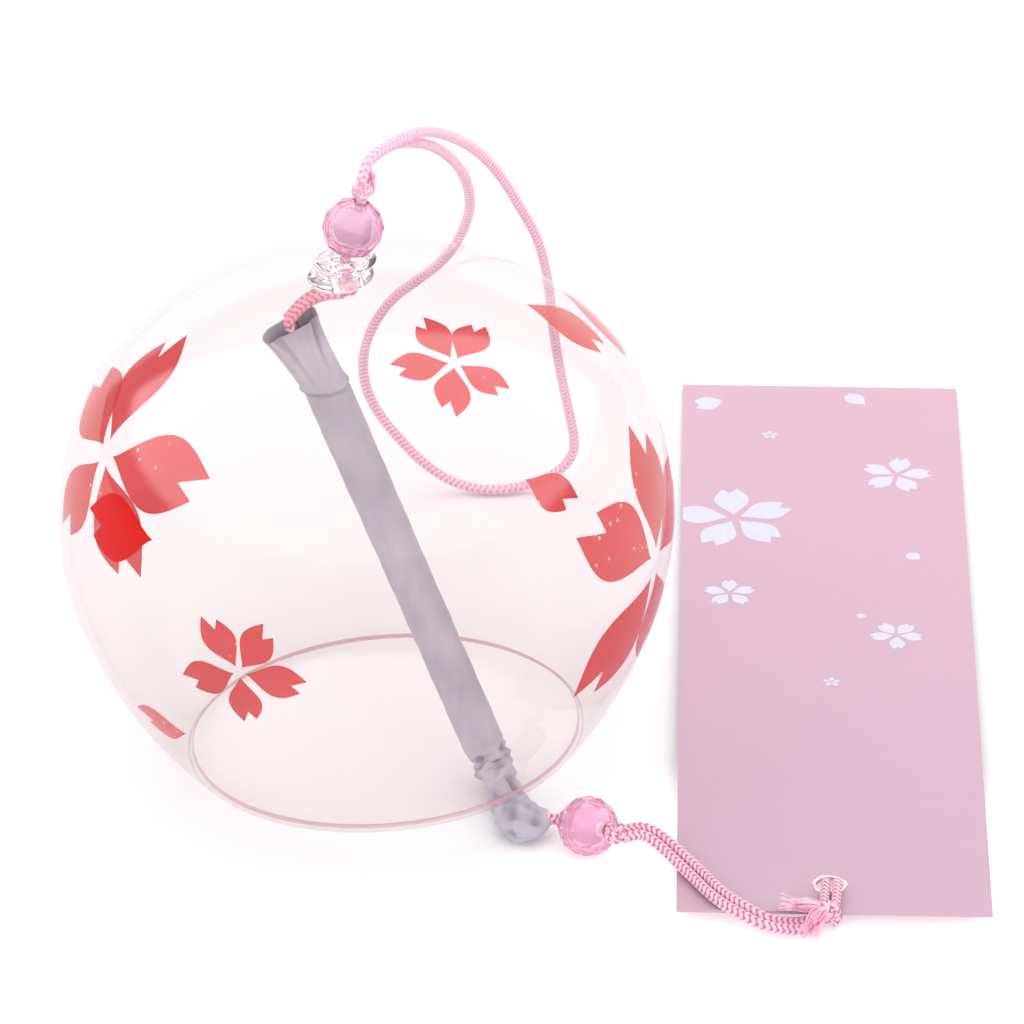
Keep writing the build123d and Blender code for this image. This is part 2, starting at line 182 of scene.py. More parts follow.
lens = bpy.data.cameras.new("camera")
lens.sensor_width = sensor_width
lens.lens = focal_pixels / picture_pixels * sensor_width
lens.clip_start, lens.clip_end = 0.05, 20
camera = bpy.data.objects.new("camera", lens)
camera.location = camera_place
camera.rotation_euler = (camera_tilt, 0, 0)
bpy.context.scene.collection.objects.link(camera)
bpy.context.scene.camera = camera
bpy.context.scene.view_settings.view_transform = "Standard"

# Hanging loop. One braided cord of polyester, folded double at the top knot: it rises from the
# knot, arches over behind the bell, and lies in a bend on the table. Its yarns lie in slanting
# stitches, so that pale chevrons run along it, with painted shade in the gaps between them.
loop_cord_d = 1.5 * mm
yarn_pitch = 0.85 * mm
yarn_columns = 6
yarn_phase, yarn_lean = 0.08, 1.3
braid_step = 0.13 * mm
braid_round = 36
braid_depth_share = 0.16
loop_route = [
    (-0.0221, -0.0256, 0.0827), (-0.0217, -0.025, 0.0847), (-0.0205, -0.0235, 0.0855),
    (-0.019, -0.0212, 0.0855), (-0.0167, -0.0172, 0.0849), (-0.014, -0.0116, 0.083),
    (-0.0106, -0.0026, 0.0775), (-0.0073, 0.0045, 0.0717), (-0.0044, 0.01, 0.0652),
    (-0.002, 0.0146, 0.0583), (0.0005, 0.019, 0.0513), (0.0019, 0.024, 0.0416),
    (0.0025, 0.0285, 0.0324), (0.0035, 0.0325, 0.0238), (0.0047, 0.0358, 0.0161),
    (0.0056, 0.0379, 0.0104), (0.0056, 0.039, 0.007), (0.0042, 0.0396, 0.0043),
    (0.0015, 0.0401, 0.0021), (-0.0018, 0.0402, 0.0008), (-0.0053, 0.0392, 0.0008),
    (-0.0089, 0.0398, 0.0008), (-0.0124, 0.0399, 0.0021), (-0.0161, 0.039, 0.0056),
    (-0.0193, 0.0376, 0.0103), (-0.0222, 0.0356, 0.0156), (-0.0239, 0.0332, 0.0214),
    (-0.0239, 0.0306, 0.0278), (-0.0222, 0.028, 0.0339), (-0.0195, 0.0255, 0.0391),
    (-0.0159, 0.023, 0.0432), (-0.0127, 0.0205, 0.0472), (-0.0102, 0.017, 0.0526),
    (-0.0088, 0.0126, 0.0588), (-0.0088, 0.008, 0.0641), (-0.0096, 0.003, 0.0696),
    (-0.0116, -0.0034, 0.0754), (-0.0143, -0.0094, 0.0801), (-0.0179, -0.0168, 0.0838),
    (-0.02, -0.0206, 0.0843), (-0.0212, -0.0227, 0.0842), (-0.0218, -0.0236, 0.0837),
    (-0.022, -0.024, 0.0822),
]


def smooth_line(route, step):
    """Points at even steps along the NURBS spline whose control points are the route."""
    curve = bpy.data.curves.new("line", "CURVE")
    curve.dimensions = "3D"
    spline = curve.splines.new("NURBS")
    spline.points.add(len(route) - 1)
    for point, place in zip(spline.points, route):
        point.co = (*place, 1)
    spline.order_u = 3
    spline.use_endpoint_u = True
    spline.resolution_u = 24
    holder = bpy.data.objects.new("line", curve)
    mesh = bpy.data.meshes.new_from_object(holder)
    line = np.zeros(3 * len(mesh.vertices))
    mesh.vertices.foreach_get("co", line)
    line = line.reshape(-1, 3)
    bpy.data.objects.remove(holder)
    bpy.data.curves.remove(curve)
    bpy.data.meshes.remove(mesh)
    return even_steps(line, step)


def full_turn(steps):
    """Even bearings once round, without the last, which is the first again."""
    return np.linspace(0, 2 * np.pi, steps, endpoint=False)


def run_of(line):
    """How far along the line each of its points lies."""
    return np.concatenate([[0], np.cumsum(np.linalg.norm(np.diff(line, axis=0), axis=1))])


def even_steps(line, step):
    """The same line with its points an even distance apart, read off by its length."""
    run = run_of(line)
    places = np.linspace(0, run[-1], max(4, int(run[-1] / step)))
    return np.stack([np.interp(places, run, line[:, axis]) for axis in range(3)], axis=1)


def along(line, closed=False):
    """Two directions square to the line at each point, carried along it without twisting."""
    if closed:
        ahead = np.roll(line, -1, axis=0) - np.roll(line, 1, axis=0)
    else:
        ahead = np.gradient(line, axis=0)
    ahead /= np.linalg.norm(ahead, axis=1, keepdims=True)
    side = np.cross(ahead[0], (0.31, 0.17, 0.94))
    sides = []
    for direction in ahead:
        side = side - direction * (side @ direction)
        side = side / np.linalg.norm(side)
        sides.append(side)
    sides = np.array(sides)
    return sides, np.cross(ahead, sides)


def unit(vector):
    return np.asarray(vector, float) / np.linalg.norm(vector)


def quads(index):
    """Faces over the last two axes of a grid of point numbers."""
    return np.stack([index[..., :-1, :-1], index[..., :-1, 1:], index[..., 1:, 1:],
                     index[..., 1:, :-1]], axis=-1).reshape(-1, 4)


def keep(mesh, name, values):
    """Keep a value at each point of the mesh, for its material to read."""
    mesh.attributes.new(name, "FLOAT", "POINT").data.foreach_set(
        "value", np.ascontiguousarray(values, dtype=np.float32).ravel())


def skin(name, points, loop=False, painted_shade_map=None, merge=False):
    """A tube through a grid of points, rows along it and columns round it. loop joins the last
    row to the first, the values for painted shade are kept as an attribute, and merge closes
    rows that meet in a point."""
    rows, columns = points.shape[:2]
    index = np.arange(rows * columns).reshape(rows, columns)
    index = np.concatenate([index, index[:, :1]], axis=1)
    if loop:
        index = np.concatenate([index, index[:1]], axis=0)
    piece = new_piece(name, points.reshape(-1, 3), quads(index))
    mesh = piece.data
    if painted_shade_map is not None:
        keep(mesh, "painted_shade_map", painted_shade_map)
    if merge:
        work = bmesh.new()
        work.from_mesh(mesh)
        bmesh.ops.remove_doubles(work, verts=work.verts, dist=1e-7)
        bmesh.ops.dissolve_degenerate(work, edges=work.edges, dist=1e-8)
        work.to_mesh(mesh)
        work.free()
    mesh.update()
    return piece


def braid(name, line, diameter, body, node, paint, closed=False):
    """A round tube along the line, in columns of slanting stitches that lean left and right by
    turns, as yarns wound opposite ways lie. The height of a stitch, which the radius follows, is
    (0.3 + 0.7 times a cosine stripe along the cord) times (0.5 + 0.5 sin(pi share)^0.6), where
    the share runs from 0 to 1 across a column. It rides on the body and replaces the node."""
    side, other = along(line, closed)
    run = run_of(line)
    total = run[-1] + (np.linalg.norm(line[0] - line[-1]) if closed else 0)
    turns = max(1, round(total / yarn_pitch))
    wave = run[:, None] / total * turns * 2 * np.pi
    turn = full_turn(braid_round)[None, :]
    column, share = np.divmod(turn / (2 * np.pi) * yarn_columns + yarn_phase, 1)
    lean = np.where(column % 2 == 0, 1, -1) * (share - 0.5) * np.pi * yarn_lean
    height = (0.3 + 0.7 * (0.5 + 0.5 * np.cos(wave + lean))) * (
        0.5 + 0.5 * np.sin(np.pi * share) ** 0.6)
    radius = diameter / 2 * (1 - braid_depth_share * (1 - height))
    points = line[:, None] + radius[..., None] * (
        np.cos(turn)[..., None] * side[:, None] + np.sin(turn)[..., None] * other[:, None])
    if not closed:
        points = np.concatenate([0 * points[:1] + line[0], points, 0 * points[:1] + line[-1]])
        height = np.concatenate([height[:1], height, height[-1:]])
    # The stitch height is kept on the mesh for the material, which paints shade into the low gaps.
    piece = skin(name, points, loop=closed, painted_shade_map=height)
    piece.data.materials.append(paint)
    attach(piece, body)
    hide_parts(node)
    return piece


def cord_finish(name, pale, deep):
    """Braided polyester: pale yarn tops with painted shade in the gaps between them, a fine grain
    of filaments and some sheen.
    """
    material, shader, first = finish(name, Roughness=0.42, Sheen_Weight=0.35,
                                     Sheen_Roughness=0.4, Specular_IOR_Level=0.35)
    # The deep colour is painted shade, laid into the gaps where the stitches are low.
    painted_shade_map = first.kept("painted_shade_map")
    top = painted_shade_map.above(0.48, 0.6) * (0.75 + first.noise(320.0, 2.0) * 0.4)
    feed(shader, Base_Color=top.blend(deep, pale),
         Normal=first.noise(5200.0, 1.0).bump(0.35, 0.12 * mm))
    return material


def laid_cord(name, route, diameter, body, node, paint, shift=0):
    """A braided cord along the route, moved bodily by shift: the piece, and the line it takes."""
    line = smooth_line(np.array(route) + shift, braid_step)
    return braid(name, line, diameter, body, node, paint), line


# The second colour of each cord is the painted shade in the gaps between its stitches.
loop_paint = cord_finish("loop cord", (1.0, 0.70, 0.82), (0.78, 0.34, 0.50))
loop, loop_line = laid_cord("hanging_loop_cord", loop_route, loop_cord_d, "loop", "hanging_loop",
                            loop_paint)

# Tail. The two ends of the same cord run on side by side from the knot behind the lower bead,
# dip to the table, and pass under the near edge of the card to the knot that ties the card on.
tail_cord_d = 1.5 * mm
tail_far_length, tail_near_length = 0.0346, 0.0337
tail_far_route = [
    (0.0107, -0.0564, 0.005), (0.012, -0.0554, 0.00495), (0.0138, -0.055, 0.00485),
    (0.0156, -0.0559, 0.00445), (0.0174, -0.0577, 0.0038), (0.0193, -0.0603, 0.0033),
    (0.0214, -0.0635, 0.003), (0.0232, -0.067, 0.003), (0.025, -0.0694, 0.003),
    (0.0269, -0.0712, 0.0029), (0.0287, -0.0721, 0.0022), (0.0305, -0.0716, 0.0013),
    (0.0326, -0.0712, 0.00085), (0.0346, -0.07135, 0.00135), (0.036, -0.0712, 0.0021),
]
tail_near_route = [
    (0.0112, -0.0579, 0.005), (0.0126, -0.057, 0.00495), (0.014, -0.0569, 0.00475),
    (0.0159, -0.0585, 0.004), (0.018, -0.0612, 0.0033), (0.02, -0.0643, 0.003),
    (0.0218, -0.0678, 0.003), (0.0238, -0.0705, 0.003), (0.026, -0.0726, 0.0029),
    (0.0283, -0.0737, 0.0022), (0.0308, -0.0732, 0.0013), (0.033, -0.0728, 0.00085),
    (0.0346, -0.07295, 0.00135), (0.0359, -0.0728, 0.0021),
]
# The second colour is the painted shade in the gaps between the stitches.
tail_paint = cord_finish("tail cord", (0.92, 0.60, 0.72), (0.46, 0.09, 0.19))
for name, route, length, node in (
        ("tail_cord_far", tail_far_route, tail_far_length, "tail_strand_left"),
        ("tail_cord_near", tail_near_route, tail_near_length, "tail_strand_right")):
    strand, line = laid_cord(name, route, tail_cord_d, "tail", node, tail_paint)

# Clapper cord. The same doubled cord inside the glass tube, seen only where it enters the
# paper's open mouth and where it leaves the wad at the foot.
clapper_cord_d = 1.6 * mm
clapper_route = [
    (-0.0319, -0.0246, 0.062), (-0.02695, -0.02655, 0.05345), (-0.0059, -0.0372, 0.00345),
    (-0.0042, -0.0431, 0.0023), (-0.0015, -0.0471, 0.00195), (0.0012, -0.049, 0.0021),
    (0.00313, -0.0497, 0.00251),
]
clapper_cord, clapper_line = laid_cord("clapper_cord_braid", clapper_route, clapper_cord_d,
                                       "clapper", "clapper_cord", tail_paint)

# Short runs. The cord through the collar and the upper bead, the two strands that hang from the
# inner knot into the paper's mouth, the run through the lower bead, and the loop that passes
# through the card's hole. Each is too short to lie in a way of its own.
collar_cord_d, drop_strand_d, strip_cord_d = 1.5 * mm, 1.4 * mm, 1.3 * mm
strand_apart = 0.74 * mm
drop_nudge = np.array([0.1, 0, 0.02]) * mm
collar_route = [(-0.02445, -0.02510, 0.0691), (-0.02457, -0.02498, 0.07162),
                (-0.02336, -0.02489, 0.07575), (-0.02216, -0.02480, 0.07985)]
drop_route = [(-0.0247, -0.0252, 0.0668), (-0.0266, -0.0251, 0.0667), (-0.0290, -0.0249, 0.0657),
              (-0.0308, -0.0247, 0.0640), (-0.0320, -0.0246, 0.0622)]
link_route = [(0.0027, -0.0492, 0.0023), (0.00486, -0.05162, 0.00326),
              (0.0066, -0.05355, 0.004), (0.00930, -0.05655, 0.00516)]
strip_loop_route = [
    (0.0369, -0.0717, 0.0023), (0.037, -0.07175, 0.0013), (0.0372, -0.0708, 0.00074),
    (0.0374, -0.0693, 0.00072), (0.0375, -0.0657, 0.00073), (0.0375, -0.0646, 0.001),
    (0.0375, -0.06415, 0.0019), (0.0375, -0.0647, 0.0028), (0.0374, -0.066, 0.00306),
    (0.0369, -0.0707, 0.00305),
]
# The second colour is the painted shade in the gaps between the stitches.
drop_paint = cord_finish("cord inside the glass", (0.97, 0.52, 0.60), (0.68, 0.20, 0.30))
laid_cord("collar_cord_braid", collar_route, collar_cord_d, "hanger", "collar_cord", loop_paint)
laid_cord("link_cord_braid", link_route, collar_cord_d, "tail", "link_cord", tail_paint)
for side, word in ((strand_apart, "far"), (-strand_apart, "near")):
    laid_cord("drop_cord_" + word, drop_route, drop_strand_d, "bell", "drop_cord", drop_paint,
              drop_nudge + (0, side, 0))
    laid_cord("strip_loop_" + word, strip_loop_route, strip_cord_d, "strip", "strip_loop",
              tail_paint, (side, 0, 0))

# Knots. Each is an overhand knot of the same cord pulled tight, so it is drawn as a trefoil: a
# closed line that winds twice round the axis in three lobes, at the size of the real knot.
trefoil_steps = 260


def knot(name, centre, axis, radius, height, diameter, paint, body, node, turn=0.0):
    """The line (2 + cos 3t) round the axis by 2t, with height sin 3t, scaled to the knot."""
    t = full_turn(trefoil_steps)
    axis = unit(axis)
    side = unit(np.cross(axis, (0.2, 0.9, 0.4)))
    other = np.cross(axis, side)
    reach = (2 + np.cos(3 * t)) / 3 * (radius - diameter / 2)
    line = (np.array(centre) + np.outer(reach * np.cos(2 * t + turn), side)
            + np.outer(reach * np.sin(2 * t + turn), other)
            + np.outer(np.sin(3 * t) * (height - diameter) / 2, axis))
    braid(name, line, diameter, body, node, paint, closed=True)


globe_centre = np.array([-22.0, -26.75, 33.65]) * mm
lean_left, lean_back = np.radians([3.87, 2.66])
bell_axis = np.array([-np.sin(lean_left), np.sin(lean_back), 0])
bell_axis[2] = np.sqrt(1 - bell_axis @ bell_axis)
link_axis = np.array([0.643206, -0.714353, 0.275637])
knot("inner_knot_cord", (-0.02426, -0.02519, 0.06740), bell_axis, 1.6 * mm, 2.3 * mm, 1.1 * mm,
     drop_paint, "bell", "inner_knot")
knot("top_knot_cord", (-0.0221, -0.02481, 0.0813), (0.05, 0, 1), 1.5 * mm, 3.0 * mm, 1.15 * mm,
     loop_paint, "hanger", "top_knot", 0.6)
knot("bead_knot_cord", (0.01007, -0.05741, 0.00549), link_axis, 1.55 * mm, 2.5 * mm, 1.1 * mm,
     tail_paint, "tail", "bead_knot", 0.3)
knot("strip_knot_cord", (0.0367, -0.0716, 0.0029), (0.35, -0.5, 0.6), 1.55 * mm, 2.8 * mm,
     1.15 * mm, tail_paint, "strip", "strip_knot", 0.9)

# Cut ends. Where the cord was cut it has come apart into filaments: two tufts at the card's knot,
# and a stub that stands up beside the knot over the upper bead.
fray_rings, fray_sides = 10, 4
thread_r, thread_taper = 0.085 * mm, 0.55
fray_paint, fray_shader, first = finish("loose filaments", Roughness=0.5, Sheen_Weight=0.5)
feed(fray_shader, Base_Color=first.noise(900.0, 2.0).above(0.5, 0.4).blend(
    (0.90, 0.36, 0.55), (0.98, 0.70, 0.82)))


def tuft(name, root, tip, root_r, wide, thick, strands, seed, curl, body):
    """Thin tapering threads that start side by side at the root, spread towards the tip over a
    flat oval as the distance to the power 1.4, and each bow out by their own curl. Millimetres."""
    chance = np.random.default_rng(seed)
    root, tip = np.array(root) * mm, np.array(tip) * mm
    axis = unit(tip - root)
    across = unit(np.cross(axis, (0, 0, 1)))
    over = np.cross(across, axis)
    angle = chance.uniform(0, 2 * np.pi, strands)
    reach = np.sqrt(chance.uniform(0, 1, strands))
    u, v = reach * np.cos(angle), reach * np.sin(angle)
    length = np.linalg.norm(tip - root) * chance.uniform(0.72, 1.02, strands)
    bow = chance.normal(0, curl, (strands, 2)) * thick * mm
    t = np.linspace(0, 1, fray_rings)
    open_up = t[None] ** 1.4
    centre = (root + length[:, None, None] * t[None, :, None] * axis
              + ((root_r * (1 - open_up) + wide / 2 * open_up) * u[:, None] * mm
                 + bow[:, :1] * np.sin(t * np.pi * 1.3))[..., None] * across
              + ((root_r * (1 - open_up) + thick / 2 * open_up) * v[:, None] * mm
                 + bow[:, 1:] * np.sin(t * np.pi * 1.5))[..., None] * over)
    turn = full_turn(fray_sides)
    radius = thread_r * (1 - thread_taper * t)[None, :, None, None]
    points = centre[:, :, None] + radius * (np.cos(turn)[:, None] * across
                                            + np.sin(turn)[:, None] * over)
    index = np.arange(strands * fray_rings * fray_sides).reshape(strands, fray_rings, fray_sides)
    index = np.concatenate([index, index[:, :, :1]], axis=2)
    faces = quads(index)[:, [0, 3, 2, 1]]
    ends = np.concatenate([index[:, 0, :-1], index[:, -1, :-1][:, ::-1]])
    piece = new_piece(name, points.reshape(-1, 3), np.concatenate([faces, ends]), smooth=False)
    piece.data.materials.append(fray_paint)
    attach(piece, body)
    return piece


left_tuft = tuft("frayed_tuft_left", (35.9, -71.2, 3.4), (30.5, -70.0, 3.1), 0.5, 2.7, 1.3,
                 90, 3, 0.25, "strip")
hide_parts("frayed_end_left")
front_tuft = tuft("frayed_tuft_front", (36.2, -72.3, 3.6), (33.9, -76.9, 2.8), 0.6, 2.9, 1.5,
                  100, 5, 0.25, "strip")
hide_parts("frayed_end_front")
tuft("top_knot_stub", (-21.2, -24.9, 80.6), (-20.95, -24.9, 83.9), 0.5, 1.5, 1.4, 70, 8, 0.1,
     "hanger")

# Glass bell. Blown in one gather and cut off while hot: a wall of about a millimetre, a rim
# rounded in the flame, and a fuller crown than skirt. The wall is a thin film, since light passes
# it almost straight: the face seen first is faintly pink, most at a slant and along the rim.
bell_r, crown_h, skirt_h, rim_drop = 40 * mm, 35.1 * mm, 46.8 * mm, 31.3 * mm
crown_power, skirt_power = 2.32, 1.68
wall = 1.1 * mm
rim_round = 0.35 * mm
bore_r = 1.7 * mm
bell_turns = 192
rim_rows = (1, 0.9970, 0.9950)
skirt_rows, crown_rows, rim_arc_rows = 58, 70, 9
slant_tint, rim_tint, mirror_most = 0.68, 0.85, 0.08
bell_x = unit(np.array([1.0, 0, 0]) - bell_axis * bell_axis[0])
bell_y = np.cross(bell_axis, bell_x)


def stand(across, forth, height):
    """Place from the bell's own coordinates, with height along its axis."""
    return (globe_centre + across[..., None] * bell_x + forth[..., None] * bell_y
            + height[..., None] * bell_axis)


def bell_side(radius, crown, skirt, top_r):
    """Half outline from the rim to the bore: the radius is R times cosine a to the power 2/p and
    the height H times sine a to that power, with one p for the skirt and one for the crown."""
    rim_angle = np.arcsin((rim_drop / skirt_h) ** (skirt_power / 2))
    down = rim_angle * np.concatenate([rim_rows, np.linspace(0.98, 0, skirt_rows, False)])
    up = np.linspace(0, np.arccos((top_r / radius) ** (crown_power / 2)), crown_rows)
    out = np.concatenate([np.cos(down) ** (2 / skirt_power), np.cos(up) ** (2 / crown_power)])
    rise = np.concatenate([-skirt * np.sin(down) ** (2 / skirt_power),
                           crown * np.sin(up) ** (2 / crown_power)])
    return np.stack([out * radius, rise], axis=1)


def turned(name, side, wobble=None):
    """The outline carried once round the bell's axis. wobble moves its points as a hand would."""
    turn = full_turn(bell_turns)[None, :]
    radius, height = side[:, :1] + 0 * turn, side[:, 1:] + 0 * turn
    across, forth = radius * np.cos(turn), radius * np.sin(turn)
    if wobble is not None:
        across, forth, height = wobble(across, forth, height, turn)
    return skin(name, stand(across, forth, height), loop=True)


outer_side = bell_side(bell_r, crown_h, skirt_h, bore_r)
inner_side = bell_side(bell_r - wall, crown_h - wall, skirt_h - wall, bore_r)
rim_low = (outer_side[0] + inner_side[0]) / 2 - (0, 2 * rim_round)
corner = np.linspace(0, 1, rim_arc_rows + 2)[1:-1, None]
rim_arc = ((1 - corner) ** 2 * inner_side[0] + 2 * corner * (1 - corner) * rim_low
           + corner ** 2 * outer_side[0])
outline_rows = np.concatenate([outer_side, inner_side[::-1], rim_arc])
bell = turned("glass_bell", outline_rows)
row = np.repeat(np.arange(len(outline_rows))[:, None], bell_turns, axis=1)
rim_start = 2 * len(outer_side)
outward = (row < len(outer_side)) | (row >= rim_start)
at_rim = np.where(row >= rim_start, 0.10, 0.0)
at_rim[(row < 2) | (row >= rim_start + rim_arc_rows - 2)] = 0.5
at_rim[(row >= rim_start - 2) & (row <= rim_start + 1)] = 1.0
keep(bell.data, "outward", outward)
keep(bell.data, "fired_rim", at_rim)
film, film_shader, first = finish("blown glass", Base_Color=(0.66, 0.40, 0.45, 1),
                                  Roughness=0.08, Specular_IOR_Level=0.5)
tinted = Wire(film.node_tree, film_shader.outputs[0])
clear = first.node("ShaderNodeBsdfTransparent", values={"Color": (0.985, 0.98, 0.98, 1)})
pink_clear = first.node("ShaderNodeBsdfTransparent", values={"Color": (0.934, 0.884, 0.876, 1)})
facing = first.node("ShaderNodeLayerWeight", values={"Blend": 0.5}, out=1)
mirror = first.node("ShaderNodeFresnel", values={"IOR": 1.22})
sheen = first.node("ShaderNodeBsdfAnisotropic", values={"Color": (1, 0.985, 0.99, 1),
                                                        "Roughness": 0.02})
skin_side = first.kept("outward")
rim_side = first.kept("fired_rim")
seen_first = skin_side * (1 - first.node("ShaderNodeNewGeometry", out=6))
see_through = first.node("ShaderNodeMixShader", values={0: seen_first, 1: clear, 2: pink_clear})
edge_tint = (facing.math("POWER", 4.0) * slant_tint * seen_first).math(
    "MAXIMUM", rim_side * rim_tint)
inner_mix = first.node("ShaderNodeMixShader", values={0: edge_tint, 1: see_through, 2: tinted})
outer_mix = first.node("ShaderNodeMixShader", values={
    0: mirror.math("MINIMUM", mirror_most) * (0.2 + seen_first * 0.8), 1: inner_mix, 2: sheen})
film.node_tree.links.new(outer_mix.socket, film.node_tree.nodes["Material Output"].inputs[0])
bell.data.materials.append(film)
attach(bell, "bell")
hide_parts("glass_globe")

# Collar. Two soft rings pulled from the same gather, the lower one pushed a little to the left,
# with a groove between them and the bore through both. This glass is thick, so it bends light.
lobe_low = 34.6 * mm
lobe_t, groove_t, lip_t = 1.7 * mm, 0.6 * mm, 1.2 * mm
lobe_r, groove_r, lip_r = 4.15 * mm, 3.4 * mm, 3.95 * mm
lobe_shift = 0.7 * mm
groove_hollow, mouth_round = 0.15 * mm, 0.5 * mm


def collar_outline():
    """Two half rounds with a hollow between them, closed by the bore."""
    swing = np.linspace(-np.pi / 2, np.pi / 2, 25)
    lobe = np.stack([lobe_r - lobe_t / 2 + lobe_t / 2 * np.cos(swing),
                     lobe_low + lobe_t / 2 + lobe_t / 2 * np.sin(swing)], axis=1)
    lip_low = lobe_low + lobe_t + groove_t
    lip = np.stack([lip_r - lip_t / 2 + lip_t / 2 * np.cos(swing),
                    lip_low + lip_t / 2 + lip_t / 2 * np.sin(swing)], axis=1)
    hollow = np.linspace(0, np.pi, 9)[1:-1]
    groove = np.stack([groove_r - groove_hollow * np.sin(hollow),
                       lobe_low + lobe_t + groove_t * (1 - np.cos(hollow)) / 2], axis=1)
    top = lip_low + lip_t
    round_off = np.linspace(0, np.pi / 2, 7)
    mouth = np.stack([bore_r + mouth_round * (1 - np.sin(round_off)),
                      top - mouth_round * (1 - np.cos(round_off))], axis=1)
    bore = np.stack([np.full(9, bore_r), np.linspace(top - 1.2 * mouth_round, lobe_low, 9)],
                    axis=1)
    under = np.stack([np.linspace(bore_r, lobe[0, 0], 6)[1:-1], np.full(4, lobe_low)], axis=1)
    flat = np.stack([np.linspace(lip[-1, 0], mouth[0, 0], 5)[1:-1], np.full(3, top)], axis=1)
    return np.concatenate([lobe, groove, lip, flat, mouth, bore, under])


def pulled(across, forth, height, turn):
    """The lower ring slides left, and both swell and thin a little on their way round."""
    share = np.clip((np.hypot(across, forth) - bore_r) / (2 * mm), 0, 1)
    low = 1 / (1 + np.exp((height - lobe_low - lobe_t - groove_t / 2) / (0.12 * mm)))
    wave = 0.10 * np.sin(2 * turn + 0.7) + 0.06 * np.sin(3 * turn + 2.0)
    swell = 1 + 0.35 * share * wave
    return (across * swell - lobe_shift * low * share, forth * swell,
            height + 0.12 * mm * share * np.sin(2 * turn + 1.1))


collar = turned("glass_collar", collar_outline(), pulled)
thick_glass, thick_shader, first = finish(
    "thick clear glass", Base_Color=(0.985, 0.965, 0.985, 1), Roughness=0.0, IOR=1.46,
    Transmission_Weight=1.0)
feed(thick_shader, Normal=first.noise(260.0, 1.0).bump(0.25, 0.3 * mm))
collar.data.materials.append(thick_glass)
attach(collar, "bell")
repaint("clapper_tube", thick_glass)

# Printed blossoms. Cherry blossoms and loose petals in translucent red, laid on the outside of
# the glass as transfers: each petal has a narrow root and a notch between its two tips. Places
# are bearings round the bell and angles above its widest ring, in degrees, and each petal is
# given by the bearing and reach of its two tips from the blossom's middle.
ink_lift = 0.05 * mm
petal_rows, petal_columns = 22, 13
notch_share = 0.84
bulge_share = 0.27


def towards(place):
    """Direction from the bell's centre to a place given by its bearing and its angle up."""
    bearing, climb = np.radians(place)
    return np.array([np.cos(climb) * np.cos(bearing), np.cos(climb) * np.sin(bearing),
                     np.sin(climb)])


def on_glass(place, u, v, lift=ink_lift):
    """Flat coordinates round a place on the bell, laid on the bell's outer face: distance
    becomes an arc seen from the bell's centre, and the outline gives how far out the glass is."""
    middle = towards(place)
    east = unit(np.cross((0, 0, 1.0), middle))
    north = np.cross(middle, east)
    arc, turn = np.hypot(u, v) / bell_r, np.arctan2(v, u)
    way = (np.cos(arc)[..., None] * middle + np.sin(arc)[..., None] * (
        np.cos(turn)[..., None] * east + np.sin(turn)[..., None] * north))
    flat, high = np.hypot(way[..., 0], way[..., 1]), way[..., 2]
    power = np.where(high > 0, crown_power, skirt_power)
    tall = np.where(high > 0, crown_h, skirt_h)
    out = ((flat / bell_r) ** power + (np.abs(high) / tall) ** power) ** (-1 / power) + lift
    return stand(way[..., 0] * out, way[..., 1] * out, way[..., 2] * out)


def petal(root, tip_a, tip_b, notch, bulge):
    """Flat outline of one petal as a grid: two sides that bow out from the root to the tips by
    bulge times their length, and an end drawn in to the notch."""
    root, tip_a, tip_b, notch = [np.array(point) for point in (root, tip_a, tip_b, notch)]
    t = np.linspace(0, 1, petal_rows)[:, None]
    s = np.linspace(0, 1, petal_columns)[None, :, None]
    bow = np.sin(np.pi * t ** 1.3) * (1 - 0.1 * t)
    away = -1 if np.cross(tip_a - root, tip_b - root) > 0 else 1
    sides = []
    for tip, way in ((tip_a, away), (tip_b, -away)):
        chord = tip - root
        square = np.array([-chord[1], chord[0]]) * way
        sides.append(root + t * chord + bulge * bow * square)
    left, right = sides[0][:, None], sides[1][:, None]
    end = np.where(s < 0.5, tip_a + (notch - tip_a) * 2 * s, notch + (tip_b - notch) * (2 * s - 1))
    straight = tip_a + (tip_b - tip_a) * s
    return left + (right - left) * s + (end - straight) * t[:, None] ** 5


def flat_place(reach, angle):
    return reach * np.array([np.cos(angle), np.sin(angle)])


def fan(tips, root_share=0.1, notch=notch_share, bulge=bulge_share):
    """The petals of one blossom, from pairs of tips given as bearing in degrees and reach."""
    petals = []
    for bearing_a, reach_a, bearing_b, reach_b in tips:
        a, b = np.radians([bearing_a, bearing_b])
        middle = (a + b) / 2
        reach = (reach_a + reach_b) / 2
        petals.append(petal(
            flat_place(root_share * reach, middle), flat_place(reach_a, a),
            flat_place(reach_b, b), flat_place(notch * min(reach_a, reach_b), middle), bulge))
    return np.array(petals) * mm


def print_piece(name, sheets, paint, body):
    """One piece of ink from several grids of points."""
    petals, rows, columns = sheets.shape[:3]
    index = np.arange(petals * rows * columns).reshape(petals, rows, columns)
    piece = new_piece(name, sheets.reshape(-1, 3), quads(index))
    piece.data.materials.append(paint)
    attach(piece, body)


ink_cover = 0.94
red_ink, ink_shader, first = finish("red transfer ink", Roughness=0.05, Specular_IOR_Level=0.6)
place = first.place()
cloud = first.noise(70.0, 3.0, place)
fleck = first.node("ShaderNodeTexVoronoi", values={"Vector": place, "Scale": 520.0})
worn = (1 - fleck.above(0.12, 0.04)) * cloud.above(0.55, 0.06)
feed(ink_shader, Base_Color=cloud.above(0.5, 0.5).blend((0.58, 0.018, 0.020),
                                                        (0.66, 0.030, 0.036)),
     Alpha=ink_cover - worn * 0.7)
deep_ink, deep_shader, first = finish("double red ink", Roughness=0.2, Specular_IOR_Level=0.1)
speck = first.node("ShaderNodeTexVoronoi", values={
    "Vector": first.place(), "Scale": 900.0})
feed(deep_shader, Base_Color=speck.above(0.12, 0.1).blend((0.70, 0.03, 0.03),
                                                          (0.66, 0.012, 0.010)))
